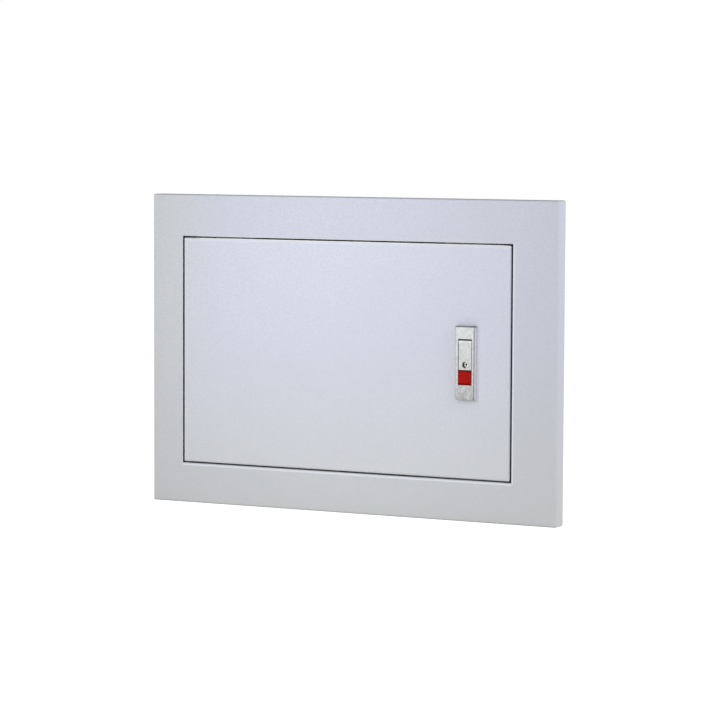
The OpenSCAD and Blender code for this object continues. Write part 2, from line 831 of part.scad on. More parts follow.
// Hat-shaped brackets that hold the rail off the box's back
module rail_brackets() {
    top_y = rail_y + rail_d;
    half_h = rail_w / 2 - rail_lip + rail_t;
    foot_h = half_h + rail_bracket_foot;
    color(galvanised) left_and_right() translate([rail_bracket_x, 0, 0]) difference() {
        union() {
            span([-rail_bracket_w / 2, top_y, -half_h], [rail_bracket_w / 2, top_y + rail_bracket_t, half_h]);
            above_and_below() {
                span([-rail_bracket_w / 2, top_y, half_h - rail_bracket_t],
                     [rail_bracket_w / 2, box_floor_y, half_h]);
                span([-rail_bracket_w / 2, box_floor_y - rail_bracket_t, half_h - rail_bracket_t],
                     [rail_bracket_w / 2, box_floor_y, foot_h]);
            }
        }
        translate([0, top_y - overcut, 0]) rod_y(m5[0] + 2 * pin_play, rail_bracket_t + 2 * overcut);
    }
}

module rail_screws() {
    color(plated) left_and_right()
        translate([rail_bracket_x, rail_y + rail_d - rail_t, 0]) screw(m5, rail_screw_l);
}

// Places for the two fixings of a terminal bar
module at_bar_ends() {
    for (side = [-1, 1]) translate([side * bar_fixing_x, 0, 0]) children();
}

// Places for the terminals of a bar
module at_terminals() {
    for (i = [0 : terminal_count - 1])
        translate([(i - (terminal_count - 1) / 2) * terminal_pitch, 0, 0]) children();
}

// Terminal bar with its front face on y = 0: wires enter along z, screws come from the front
module terminal_bar() {
    difference() {
        translate([-bar_l / 2, 0, -bar_s / 2]) cube([bar_l, bar_s, bar_s]);
        at_terminals() {
            translate([0, bar_s / 2, 0])
                cylinder(h = bar_s + 2 * overcut, d = terminal_bore_d, center = true);
            translate([0, -overcut, 0]) rod_y(terminal_screw[0] + 2 * pin_play, bar_s / 2 + overcut);
        }
        at_bar_ends() translate([0, -overcut, 0]) rod_y(m4[0] + 2 * pin_play, bar_s + 2 * overcut);
    }
}

// Screws of a bar's terminals, seated on its front face
module terminal_screws() {
    at_terminals() slotted_screw(terminal_screw, bar_s / 2 - terminal_bore_d / 2);
}

// Post under a bar's end, standing on the box's back
module bar_post(w, h) {
    difference() {
        translate([-w / 2, -h, -w / 2]) cube([w, h, w]);
        translate([0, -h - overcut, 0]) rod_y(m4[0] + 2 * pin_play, h - post_floor + overcut);
    }
}

module at_neutral_bar() {
    translate([0, box_floor_y - insulator_h - bar_s, bar_z]) children();
}

module at_earth_bar() {
    translate([0, box_floor_y - earth_pillar_h - bar_s, -bar_z]) children();
}

module neutral_bar() {
    color(brass) at_neutral_bar() terminal_bar();
}

module neutral_insulators() {
    color("#2f5f9e") translate([0, box_floor_y, bar_z]) at_bar_ends() bar_post(insulator_w, insulator_h);
}

module neutral_terminal_screws() {
    color(plated) at_neutral_bar() terminal_screws();
}

module neutral_fixing_screws() {
    color(plated) at_neutral_bar() at_bar_ends() screw(m4, bar_screw_l);
}

module earth_bar() {
    color(brass) at_earth_bar() terminal_bar();
}

module earth_pillars() {
    color(brass) translate([0, box_floor_y, -bar_z]) at_bar_ends() bar_post(bar_s, earth_pillar_h);
}

module earth_terminal_screws() {
    color(plated) at_earth_bar() terminal_screws();
}

module earth_fixing_screws() {
    color(plated) at_earth_bar() at_bar_ends() screw(m4, bar_screw_l);
}

module box_earth_stud() {
    color(plated) translate([box_stud[0], box_floor_y - stud_l, box_stud[1]]) rod_y(stud_d, stud_l);
}

module box_earth_nut() {
    color(brass) translate([box_stud[0], box_floor_y, box_stud[1]]) nut_and_washer();
}

back_box();
cover_lugs();
cover_frame();
cover_screws();
door_buffers();
door();
hinge_brackets();
hinge_pins();
hinge_clips();
door_earth_stud();
door_earth_nut();
lock_bezel();
lock_handle();
handle_pin();
key_cylinder();
lock_button();
button_spring();
latch_bolt();
latch_spring();
lock_bracket();
lock_screws();
inner_panel();
panel_pillars();
panel_screws();
din_rail();
rail_brackets();
rail_screws();
neutral_bar();
neutral_insulators();
neutral_terminal_screws();
neutral_fixing_screws();
earth_bar();
earth_pillars();
earth_terminal_screws();
earth_fixing_screws();
box_earth_stud();
box_earth_nut();
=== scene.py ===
"""Finishes and stage for a flush-mounted steel distribution box.

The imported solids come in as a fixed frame. This script gives each of them its finish, models
the springs, the earth studs and the door's buffers in finer shape, and sets up the studio.
"""

import json
import math

import bmesh
import bpy
from bpy.props import FloatProperty, FloatVectorProperty, IntProperty, PointerProperty
from mathutils import Matrix, Quaternion, Vector

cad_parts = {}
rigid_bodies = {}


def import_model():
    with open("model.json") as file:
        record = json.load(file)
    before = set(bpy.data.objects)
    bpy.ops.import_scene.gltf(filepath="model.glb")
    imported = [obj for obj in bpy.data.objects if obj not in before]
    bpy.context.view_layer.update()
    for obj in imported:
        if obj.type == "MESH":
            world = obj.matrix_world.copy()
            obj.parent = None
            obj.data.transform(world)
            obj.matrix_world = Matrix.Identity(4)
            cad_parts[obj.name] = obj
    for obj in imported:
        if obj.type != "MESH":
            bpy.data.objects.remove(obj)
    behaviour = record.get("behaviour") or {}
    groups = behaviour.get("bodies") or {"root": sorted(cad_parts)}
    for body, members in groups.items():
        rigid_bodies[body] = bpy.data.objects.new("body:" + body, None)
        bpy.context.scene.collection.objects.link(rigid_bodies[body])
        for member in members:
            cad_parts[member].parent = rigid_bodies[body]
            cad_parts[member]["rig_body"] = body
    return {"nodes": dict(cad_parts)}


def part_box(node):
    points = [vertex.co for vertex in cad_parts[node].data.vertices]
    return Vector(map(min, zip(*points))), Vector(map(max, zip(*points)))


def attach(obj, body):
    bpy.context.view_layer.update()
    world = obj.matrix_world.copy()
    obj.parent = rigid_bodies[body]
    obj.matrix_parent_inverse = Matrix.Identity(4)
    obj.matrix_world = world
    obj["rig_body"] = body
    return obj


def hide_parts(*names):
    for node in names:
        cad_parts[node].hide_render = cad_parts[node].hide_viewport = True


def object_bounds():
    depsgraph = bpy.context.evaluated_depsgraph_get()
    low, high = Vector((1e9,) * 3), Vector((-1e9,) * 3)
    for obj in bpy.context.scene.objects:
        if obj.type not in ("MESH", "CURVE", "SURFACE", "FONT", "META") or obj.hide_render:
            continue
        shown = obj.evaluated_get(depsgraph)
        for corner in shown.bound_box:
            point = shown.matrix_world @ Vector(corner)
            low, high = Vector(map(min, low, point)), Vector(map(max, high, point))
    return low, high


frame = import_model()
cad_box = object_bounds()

bl_info = {
    "name": "Steel distribution box",
    "version": (1, 0, 0),
    "blender": (4, 5, 0),
    "location": "3D View > Sidebar > Distribution box",
    "description": "Finishes, fine details and studio for a flush-mounted distribution box",
    "category": "Object",
}

MM = 0.001

FLOAT = "NodeSocketFloat"
COLOUR = "NodeSocketColor"
VECTOR = "NodeSocketVector"

METAL = {"Metallic": 1.0}
FINISH_PREFIX = "box_"  # sets the finishes apart from the frame's own materials

UP, DOWN, RIGHT, FRONT = (0, 0, 1), (0, 0, -1), (1, 0, 0), (0, -1, 0)
RIM_LIGHT = (-0.7, 0, 0.7)  # towards the light that the opening's rims catch

NOISE_RANGE = (0.35, 0.65)  # where most of a noise's values lie
MASK_FADE = 5 * MM  # over which a mask between two limits fades out

# Painted light and shade round the door's opening, as tones times the coat's own: a painted
# highlight on the opening's rims, painted light on the gap walls above and left of the door,
# painted shade on the gap wall right of it.
RIM_PAINTED_HIGHLIGHT = 1.4  # the opening's rims
GAP_PAINTED_LIGHT = 1.5  # walls of the gap above and to the left of the door
GAP_PAINTED_SHADE = 0.3  # wall of the gap to the right of the door
GAP_ZONE = 3 * MM  # how far from the door's edge a wall still belongs to the gap
RIM_MARGIN = 5 * MM  # how far the rims reach past the door, onto the frame

COIL_STEPS = 24  # points in each turn of a spring
THREAD_STEPS = 32  # vertices in each ring of a thread
THREAD_RINGS = 6  # rings in each turn of a thread

COATED = ("cover_frame", "inner_panel")
GALVANISED = ("back_box", "cover_lugs", "din_rail", "rail_brackets", "lock_bracket")
PLATED = (
    "cover_screws", "hinge_brackets", "hinge_pins", "hinge_clips", "handle_pin",
    "latch_bolt", "lock_screws", "panel_pillars", "panel_screws", "rail_screws",
    "neutral_terminal_screws", "neutral_fixing_screws",
    "earth_terminal_screws", "earth_fixing_screws",
)
BRASS = ("neutral_bar", "earth_bar", "earth_pillars", "box_earth_nut", "door_earth_nut")


# ---- settings ----

def colour(name, description, default):
    """A colour setting, in linear values."""
    return FloatVectorProperty(
        name=name, description=description, default=default, subtype="COLOR", size=3, min=0, max=1
    )


def length(name, description, default):
    """A length setting, in metres."""
    return FloatProperty(
        name=name, description=description, default=default, min=0, precision=5, unit="LENGTH"
    )


def share(name, description, default):
    """A setting from 0 to 1."""
    return FloatProperty(name=name, description=description, default=default, min=0, max=1)


def angle(name, description, default):
    """An angle setting, given in degrees and held in radians."""
    return FloatProperty(
        name=name, description=description, default=math.radians(default), subtype="ANGLE"
    )


def power(name, description, default):
    """A lamp's power, in watts."""
    return FloatProperty(name=name, description=description, default=default, min=0, unit="POWER")


def position(name, description, default):
    """A position setting, in metres."""
    return FloatVectorProperty(
        name=name, description=description, default=default, subtype="TRANSLATION", unit="LENGTH",
        size=3,
    )


class BoxFinishes(bpy.types.PropertyGroup):
    """Colours and grain of the box's finishes."""

    coat: colour("Coat", "Powder coat on the frame and the inner panel", (0.652, 0.668, 0.752))
    door_coat: colour("Door coat", "Powder coat on the door", (0.697, 0.715, 0.808))
    coat_shade: share("Coat shade", "How much the coat darkens in broad patches", 0.03)
    # Painted warm light: less blue towards the coat's lower left, for the colour of the light
    # there.
    coat_yellowing: share("Coat yellowing", "Blue lost towards the coat's lower left", 0.10)
    # Painted shade: how much darker the top of the frame is painted, where less light falls.
    coat_dust: share("Coat dust", "How much dust darkens the top of the frame", 0.55)
    # Width of the painted highlights along the rims of the door's opening.
    coat_rim: length("Coat rim", "Width of the bright rims of the opening", 2.3 * MM)
    coat_grain: share("Coat grain", "How much the coat's fine speckle darkens it", 0.08)
    grain_size: length("Grain size", "Width of the speckles", 1.8 * MM)
    coat_roughness: share("Coat roughness", "Roughness of the powder coat", 0.42)
    peel_size: length("Peel size", "Distance between the dimples of the orange peel", 1.4 * MM)
    peel_depth: length("Peel depth", "Depth of the orange peel", 0.10 * MM)
    zinc: colour("Galvanised", "Hot-dip zinc of the box, rail and brackets", (0.34, 0.36, 0.373))
    flake_size: length("Flake size", "Width of the zinc's spangles", 6 * MM)
    plating: colour("Plating", "Bright zinc plating on the screws and pins", (0.44, 0.447, 0.454))
    plug: colour("Key cylinder", "Polished face of the key cylinder", (0.72, 0.72, 0.705))
    casting: colour("Casting", "Satin plating on the lock's castings", (0.438, 0.444, 0.440))
    casting_shade: colour(
        "Casting shade", "Satin plating where it is dull", (0.350, 0.361, 0.357)
    )
    # Painted light: the lighter colour painted on the castings' right sides.
    casting_flank: colour(
        "Casting flank", "Smoother plating on the castings' right sides", (0.90, 0.90, 0.89)
    )
    # Painted shade: the mottled darker colour of the castings' lower part.
    casting_touched: colour(
        "Casting, touched", "The plating where fingers rub it", (0.272, 0.282, 0.282)
    )
    # Painted shade: the dark colour painted into the castings' gaps and the keyway, on their upper
    # faces and along the bezel's upper and right rims.
    casting_dark: colour(
        "Casting, dark", "Dirt in the castings' gaps and along edges", (0.06, 0.065, 0.07)
    )
    # Width of the painted shade lines along the bezel's upper and right rims.
    casting_line: length(
        "Casting line", "Width of the dark lines along the bezel's rims", 1.2 * MM
    )
    # Painted shade: height below which the castings are painted darker.
    touched_top: FloatProperty(
        name="Touched top", description="Height below which fingers rub the castings",
        default=-14 * MM, precision=5, unit="LENGTH",
    )
    button: colour("Button", "Plastic of the push button", (0.45, 0.006, 0.004))
    insulator: colour("Insulator", "Plastic under the neutral bar", (0.045, 0.12, 0.34))
    brass: colour("Brass", "Brass of the terminal bars and nuts", (0.56, 0.413, 0.19))
    spring: colour("Spring steel", "Wire of the springs", (0.29, 0.29, 0.297))
    rubber: colour("Rubber", "Rubber of the door's buffers", (0.022, 0.022, 0.024))


class BoxDetails(bpy.types.PropertyGroup):
    """Sizes of the springs, threads and buffers."""

    thread_pitch: length("Thread pitch", "Distance between the threads of the earth studs", 1 * MM)
    thread_depth: length("Thread depth", "Depth of those threads", 0.5 * MM)
    button_turns: IntProperty(
        name="Button spring turns", description="Turns of the button's spring", default=5, min=3
    )
    latch_turns: IntProperty(
        name="Bolt spring turns", description="Turns of the latch bolt's spring", default=7, min=3
    )
    wire: length("Wire", "Thickness of the springs' wire", 0.6 * MM)
    buffer_width: length("Buffer width", "Diameter of the rubber buffers", 8 * MM)
    buffer_edge: length("Buffer edge", "Rounding of the buffers' faces", 1.2 * MM)
    buffer_stem: length("Buffer stem", "Diameter of the buffers' stems", 4 * MM)
    buffer_plug: length("Buffer plug", "Length of a buffer behind the ear's front face", 3.2 * MM)
    buffer_hold: length("Buffer hold", "Length of the stem up to its barb", 1.2 * MM)
    buffer_barb: length("Buffer barb", "How far the barb reaches past the stem", 0.7 * MM)


class BoxStage(bpy.types.PropertyGroup):
    """Camera, lamps and floor."""

    lens: FloatProperty(
        name="Lens", description="Focal length on a 36 mm sensor", default=150, unit="CAMERA"
    )
    azimuth: angle("Azimuth", "How far the camera stands to the right", 27.14)
    elevation: angle("Elevation", "How far the camera stands above", 4.53)
    roll: angle("Roll", "Tilt of the camera about its view", 0.26)
    distance: length("Distance", "From the camera to its aim", 2.8317)
    aim_right: length("Aim to the right", "The aim's distance from the box's middle", 18.65 * MM)
    aim_down: length("Aim down", "The aim's distance below the box's middle", 2.42 * MM)
    key_power: power("Key lamp", "Power of the key lamp", 0.77)
    key_place: position("Key place", "Where the key lamp hangs", (-0.05, -0.45, 0.16))
    key_size: length("Key size", "Width of the key lamp", 0.35)
    side_power: power("Side lamp", "Power of the side lamp", 2.47)
    side_place: position("Side place", "Where the side lamp hangs", (0.90, -0.15, 0.35))
    side_size: length("Side size", "Width of the side lamp", 0.6)
    ambient: share("Ambient", "Light that comes from all round", 0.56)
    lamp_colour: colour("Lamp colour", "Colour of both lamps", (0.94, 0.965, 1.0))
    sky: colour("Surroundings", "Colour of the light from all round", (0.985, 0.985, 1.0))
    floor: colour("Floor", "Colour of the floor", (0.84, 0.815, 0.775))
    floor_size: length("Floor size", "Width of the floor", 12)
    floor_lift: share("Floor lift", "Glow that lifts the floor to white in view", 0.6)


SETTINGS = {"box_finishes": BoxFinishes, "box_details": BoxDetails, "box_stage": BoxStage}


# ---- node helpers ----

def place(tree, kind, inputs=None, **options):
    """Adds a node, sets its options and fills its inputs with values or links."""
    node = tree.nodes.new(kind)
    for name, value in options.items():
        setattr(node, name, value)
    for key, value in (inputs or {}).items():
        fill(tree, node.inputs[key], value)
    return node


def fill(tree, socket, value):
    """Links an output into a socket, or sets the socket to a plain value."""
    if isinstance(value, bpy.types.NodeSocket):
        tree.links.new(value, socket)
    elif socket.type == "RGBA":
        socket.default_value = (*value, 1)
    else:
        socket.default_value = value


def math_node(tree, operation, *values):
    """Output of a Math node."""
    node = place(tree, "ShaderNodeMath", dict(enumerate(values)), operation=operation)
    return node.outputs[0]


def product(tree, *factors):
    """Several masks or numbers multiplied."""
    result = factors[0]
    for factor in factors[1:]:
        result = math_node(tree, "MULTIPLY", result, factor)
    return result


def spread(tree, value, low, high, to_low=0.0, to_high=1.0):
    """A value mapped from one range to another and held inside it."""
    node = place(tree, "ShaderNodeMapRange", {
        "Value": value, "From Min": low, "From Max": high, "To Min": to_low, "To Max": to_high,
    })
    return node.outputs["Result"]


def between(tree, value, low, high):
    """Mask of the places between two limits, fading just outside them."""
    past_low = spread(tree, value, low - MASK_FADE, low)
    before_high = spread(tree, value, high, high + MASK_FADE, 1, 0)
    return product(tree, past_low, before_high)


def blend_colours(tree, factor, first, second, how="MIX"):
    """The first colour at factor 0 and the second, or both multiplied, at factor 1."""
    node = place(tree, "ShaderNodeMix", data_type="RGBA", blend_type=how)
    # Sockets for numbers and for colours have the same names, so these go by index.
    for index, value in ((0, factor), (6, first), (7, second)):
        fill(tree, node.inputs[index], value)
    return node.outputs[2]


def toned(base, factor):
    """A colour made darker or lighter by a factor."""
    return [min(1.0, part * factor) for part in base]


def tinted(base, tint):
    """A colour with each of its parts lowered by a share."""
    return [part * kept for part, kept in zip(base, tint)]


def dot(tree, first, second):
    """Dot product of two vectors."""
    node = place(tree, "ShaderNodeVectorMath", {0: first, 1: second}, operation="DOT_PRODUCT")
    return node.outputs["Value"]


def cad_place(tree):
    """Where a point lies in the CAD frame, in metres."""
    return place(tree, "ShaderNodeTexCoord").outputs["Object"]


def axis_value(tree, axis):
    """Where a point lies along one of the CAD frame's axes, in metres."""
    return place(tree, "ShaderNodeSeparateXYZ", {"Vector": cad_place(tree)}).outputs[axis]


def noise(tree, size, detail=2.0, stretch=(1, 1, 1)):
    """Noise whose lumps are about one size across, longer where stretch is above 1."""
    scaled = place(tree, "ShaderNodeMapping", {
        "Vector": cad_place(tree), "Scale": [1 / part for part in stretch],
    })
    return place(tree, "ShaderNodeTexNoise", {
        "Vector": scaled.outputs["Vector"],
        "Scale": math_node(tree, "DIVIDE", 1.0, size),
        "Detail": detail,
    }).outputs["Fac"]


def in_view(tree):
    """1 for the rays that show a surface: seen directly, mirrored in gloss or through glass."""
    path = place(tree, "ShaderNodeLightPath").outputs
    mirrored = math_node(tree, "MAXIMUM", path["Is Glossy Ray"], path["Is Transmission Ray"])
    return math_node(tree, "MAXIMUM", path["Is Camera Ray"], mirrored)


def bare_tree(owner):
    """The emptied node tree of a material or world."""
    owner.use_nodes = True
    owner.node_tree.nodes.clear()
    return owner.node_tree


def start_group(name, inputs, outputs):
    """A new shader node group with named inputs and outputs.

    It comes with the sockets that bring its inputs in and those that take its results.
    """
    group = bpy.data.node_groups.new(name, "ShaderNodeTree")
    for title, kind, default in inputs:
        socket = group.interface.new_socket(name=title, in_out="INPUT", socket_type=kind)
        socket.default_value = (*default, 1) if kind == COLOUR else default
    for title, kind in outputs:
        group.interface.new_socket(name=title, in_out="OUTPUT", socket_type=kind)
    given = group.nodes.new("NodeGroupInput").outputs
    result = group.nodes.new("NodeGroupOutput").inputs
    return group, given, result


# ---- effects that several finishes share ----

def tone_patches():
    """Broad, soft patches of a second colour."""
    group, given, result = start_group(
        "tone_patches",
        [("Colour", COLOUR, (0.5, 0.5, 0.5)), ("Shade", COLOUR, (0.4, 0.4, 0.4)),
         ("Size", FLOAT, 100 * MM)],
        [("Colour", COLOUR)],
    )
    patch = spread(group, noise(group, given["Size"], 3), *NOISE_RANGE)
    mixed = blend_colours(group, patch, given["Colour"], given["Shade"])
    group.links.new(mixed, result["Colour"])
    return group


def orange_peel():
    """Shallow dimples of a sprayed or baked coat, on a longer wave."""
    wave_length = 6.0  # times the dimples' size
    wave_height = 1.5  # times the dimples' depth
    group, given, result = start_group(
        "orange_peel", [("Size", FLOAT, 1.2 * MM)], [("Height", FLOAT)]
    )
    dimples = noise(group, given["Size"], 1)
    wave = noise(group, product(group, given["Size"], wave_length), 1)
    height = math_node(group, "MULTIPLY_ADD", wave, wave_height, dimples)
    group.links.new(height, result["Height"])
    return group


def fine_grain():
    """Fine, drawn-out grain of a rolled, drawn or brushed surface, along z."""
    group, given, result = start_group(
        "fine_grain", [("Size", FLOAT, 0.4 * MM)], [("Grain", FLOAT)]
    )
    group.links.new(noise(group, given["Size"], stretch=(1, 1, 12)), result["Grain"])
    return group


def zinc_flakes():
    """Spangles of hot-dip zinc: cells that each have their own tone."""
    warp = (4 * MM, 4 * MM, 4 * MM)
    group, given, result = start_group(
        "zinc_flakes", [("Size", FLOAT, 6 * MM)], [("Tone", FLOAT), ("Edge", FLOAT)]
    )
    shift = place(group, "ShaderNodeVectorMath", {
        0: warp, "Scale": noise(group, given["Size"]),
    }, operation="SCALE").outputs["Vector"]
    shifted = place(group, "ShaderNodeVectorMath", {
        0: cad_place(group), 1: shift,
    }, operation="ADD").outputs["Vector"]
    scale = math_node(group, "DIVIDE", 1.0, given["Size"])
    cells = place(group, "ShaderNodeTexVoronoi", {"Vector": shifted, "Scale": scale})
    tone = place(group, "ShaderNodeSeparateColor", {"Color": cells.outputs["Color"]})
    group.links.new(tone.outputs["Red"], result["Tone"])
    group.links.new(cells.outputs["Distance"], result["Edge"])
    return group


def worn_edges():
    """Mask of the outer edges, broken up as handling wears them."""
    group, given, result = start_group(
        "worn_edges", [("Width", FLOAT, 0.6 * MM), ("Breakup", FLOAT, 4 * MM)],
        [("Mask", FLOAT)],
    )
    rounded = place(group, "ShaderNodeBevel", {"Radius": given["Width"]}, samples=6)
    flat = place(group, "ShaderNodeNewGeometry").outputs["Normal"]
    # The rounded normal leaves the flat one near an edge, so their cosine falls below 1 there.
    edge = spread(group, dot(group, rounded.outputs["Normal"], flat), 0.998, 0.90)
    broken = spread(group, noise(group, given["Breakup"], 3), 0.35, 0.60)
    group.links.new(product(group, edge, broken), result["Mask"])
    return group


def edge_strip():
    """Mask of a strip along the edges where a face turns towards one direction."""
    group, given, result = start_group(
        "edge_strip", [("Width", FLOAT, 1 * MM), ("Towards", VECTOR, UP)], [("Mask", FLOAT)]
    )
    rounded = place(group, "ShaderNodeBevel", {"Radius": given["Width"]}, samples=16)
    flat = place(group, "ShaderNodeNewGeometry").outputs["Normal"]
    turned = math_node(
        group, "SUBTRACT",
        dot(group, rounded.outputs["Normal"], given["Towards"]), dot(group, flat, given["Towards"]),
    )
    group.links.new(spread(group, turned, 0.01, 0.08), result["Mask"])
    return group


def facing():
    """Mask of the faces that are turned towards one direction."""
    group, given, result = start_group(
        "facing", [("Towards", VECTOR, UP), ("Start", FLOAT, 0.2), ("Full", FLOAT, 0.6)],
        [("Mask", FLOAT)],
    )
    flat = place(group, "ShaderNodeNewGeometry").outputs["Normal"]
    turned = dot(group, flat, given["Towards"])
    group.links.new(spread(group, turned, given["Start"], given["Full"]), result["Mask"])
    return group


def crevices():
    """Mask of gaps and bores, from the share of the open sky that a place still sees."""
    softness = 0.12
    group, given, result = start_group(
        "crevices", [("Reach", FLOAT, 6 * MM), ("Open", FLOAT, 0.5)], [("Mask", FLOAT)]
    )
    sky = place(
        group, "ShaderNodeAmbientOcclusion", {"Distance": given["Reach"]}, samples=12
    ).outputs["AO"]
    closed = math_node(group, "SUBTRACT", given["Open"], sky)
    group.links.new(spread(group, closed, 0, softness), result["Mask"])
    return group


def handling_haze():
    """Faint smears that change the gloss."""
    group, given, result = start_group(
        "handling_haze", [("Size", FLOAT, 30 * MM)], [("Haze", FLOAT)]
    )
    smears = noise(group, given["Size"], 4, (1, 1, 2.5))
    group.links.new(spread(group, smears, 0.40, 0.70), result["Haze"])
    return group


def effect(tree, build, **inputs):
    """Places a shared effect, built on first use, in a material and returns its outputs."""
    group = bpy.data.node_groups.get(build.__name__) or build()
    return place(tree, "ShaderNodeGroup", inputs, node_tree=group).outputs


def turned_to(tree, direction, start=0.5, full=0.9):
    """Mask of the faces turned towards a direction."""
    return effect(tree, facing, Towards=direction, Start=start, Full=full)["Mask"]


def mottled(tree, base, shade, size):
    """A colour with soft patches of a shade."""
    return effect(tree, tone_patches, Colour=base, Shade=shade, Size=size)["Colour"]


def worn(tree, tone, bright, width, breakup):
    """A tone that turns bright along its worn edges."""
    mask = effect(tree, worn_edges, Width=width, Breakup=breakup)["Mask"]
    return blend_colours(tree, mask, tone, bright)


def grained(tree, shader, size, smooth, rough):
    """Lets fine grain vary the roughness between two values, and returns the grain."""
    grain = effect(tree, fine_grain, Size=size)["Grain"]
    fill(tree, shader.inputs["Roughness"], spread(tree, grain, 0.2, 0.8, smooth, rough))
    return grain


def hazed(tree, shader, size, smooth, rough):
    """Lets smears vary the roughness between two values."""
    haze = effect(tree, handling_haze, Size=size)["Haze"]
    fill(tree, shader.inputs["Roughness"], spread(tree, haze, 0, 1, smooth, rough))


def relief(tree, shader, height, depth, edge_radius):
    """Relief on a surface whose sharp edges are eased by a small radius."""
    eased = place(tree, "ShaderNodeBevel", {"Radius": edge_radius}, samples=6)
    bump = place(tree, "ShaderNodeBump", {
        "Height": height, "Distance": depth, "Normal": eased.outputs["Normal"],
    })
    tree.links.new(bump.outputs["Normal"], shader.inputs["Normal"])


# ---- finishes ----

def start_finish(name, constants):
    """A new material with only its Principled shader, set to the constants."""
    material = bpy.data.materials.new(FINISH_PREFIX + name)
    tree = bare_tree(material)
    shader = place(tree, "ShaderNodeBsdfPrincipled", constants)
    place(tree, "ShaderNodeOutputMaterial", {"Surface": shader.outputs["BSDF"]})
    return material, tree, shader


def gap_tones(tree, tone, base, lit, finishes):
    """Painted highlights on the opening's rims, painted light in the gaps above and left of the
    door, and painted shade in the gap right of it and on the frame's top fold.
    """
    low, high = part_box("door")
    height = axis_value(tree, "Z")
    across = axis_value(tree, "X")

    def beside(place_along, edge):
        """Mask of the gap's walls on one side of the door."""
        return between(tree, place_along, edge - GAP_ZONE, edge + GAP_ZONE)

    upward = turned_to(tree, UP)
    strips = effect(tree, edge_strip, Width=finishes.coat_rim, Towards=RIM_LIGHT)["Mask"]
    rims = product(
        tree, strips, between(tree, across, low.x, high.x + RIM_MARGIN),
        between(tree, height, low.z - RIM_MARGIN, high.z), lit,
    )
    walls = math_node(tree, "MAXIMUM", upward, turned_to(tree, DOWN))
    # The hinge pin stands in the gap's left end, which gets no painted light and stays dark.
    past_hinge = spread(tree, across, low.x + 14 * MM, low.x + 18 * MM)
    top_gap = product(tree, walls, beside(height, high.z), past_hinge)
    left_gap = product(tree, turned_to(tree, RIGHT), beside(across, low.x), lit)
    right_gap = product(
        tree, effect(tree, crevices, Reach=4 * MM, Open=0.6)["Mask"],
        beside(across, high.x), between(tree, height, low.z, high.z),
    )
    # Painted shade on the frame's top fold, well above the door.
    above_door = spread(tree, height, high.z + 10 * MM, high.z + 15 * MM)
    changes = (
        (rims, RIM_PAINTED_HIGHLIGHT),
        (top_gap, GAP_PAINTED_LIGHT),
        (left_gap, GAP_PAINTED_LIGHT),
        (right_gap, GAP_PAINTED_SHADE),
        (product(tree, upward, above_door), 1 - finishes.coat_dust),
    )
    for mask, factor in changes:
        tone = blend_colours(tree, mask, tone, toned(base, factor))
    return tone


def coating(name, base, finishes, lit):
    """Powder coat with a fine orange peel, thinner on its edges, with painted light and shade round
    the door's opening.

    lit is how strongly the painted highlight on the rims of the door's opening and the painted
    light in the gap left of the door show.
    """
    material, tree, shader = start_finish(name, {"Specular IOR Level": 0.22})
    low, high = cad_box
    height = axis_value(tree, "Z")
    tone = mottled(tree, base, toned(base, 1 - finishes.coat_shade), size=160 * MM)
    tone = worn(tree, tone, toned(base, 1.08), width=0.5 * MM, breakup=5 * MM)
    # The speckle is the coat's own grain, painted stronger on the upper half as a painted glint
    # where the lamp grazes the peel.
    speckle = product(
        tree, spread(tree, noise(tree, finishes.grain_size), *NOISE_RANGE),
        spread(tree, height, low.z, high.z / 2, 0.35, 1),
    )
    tone = blend_colours(tree, speckle, tone, toned(base, 1 - finishes.coat_grain))
    # Painted warm light: the coat is painted with less blue at its left end and towards the bottom,
    # for the colour of the light there.
    warm_lit = math_node(
        tree, "MAXIMUM",
        spread(tree, axis_value(tree, "X"), low.x, low.x * 0.65, 1, 0),
        spread(tree, height, low.z, high.z * 0.1, 1, 0),
    )
    warm_light_tint = (1, 1, 1 - finishes.coat_yellowing)
    tone = blend_colours(tree, warm_lit, tone, warm_light_tint, "MULTIPLY")
    tone = gap_tones(tree, tone, base, lit, finishes)
    fill(tree, shader.inputs["Base Color"], tone)
    rough = finishes.coat_roughness
    hazed(tree, shader, 40 * MM, smooth=rough, rough=rough + 0.06)
    peel = effect(tree, orange_peel, Size=finishes.peel_size)["Height"]
    relief(tree, shader, peel, depth=finishes.peel_depth, edge_radius=0.3 * MM)
    return material


def powder_coat(finishes):
    """Pale blue-grey coat of the frame and the inner panel."""
    return coating("powder_coat", finishes.coat, finishes, lit=1.0)


def door_coat(finishes):
    """The door's coat, a little lighter than the frame's."""
    return coating("door_coat", finishes.door_coat, finishes, lit=0.3)


def galvanised_sheet(finishes):
    """Hot-dip zinc with its spangles and a dull bloom."""
    material, tree, shader = start_finish("galvanised_sheet", METAL)
    flakes = effect(tree, zinc_flakes, Size=finishes.flake_size)
    tone = blend_colours(tree, flakes["Tone"], finishes.zinc, toned(finishes.zinc, 0.84))
    tone = worn(tree, tone, toned(finishes.zinc, 1.2), width=0.4 * MM, breakup=6 * MM)
    fill(tree, shader.inputs["Base Color"], tone)
    fill(tree, shader.inputs["Roughness"], spread(tree, flakes["Tone"], 0, 1, 0.38, 0.56))
    relief(tree, shader, flakes["Edge"], depth=0.02 * MM, edge_radius=0.25 * MM)
    return material


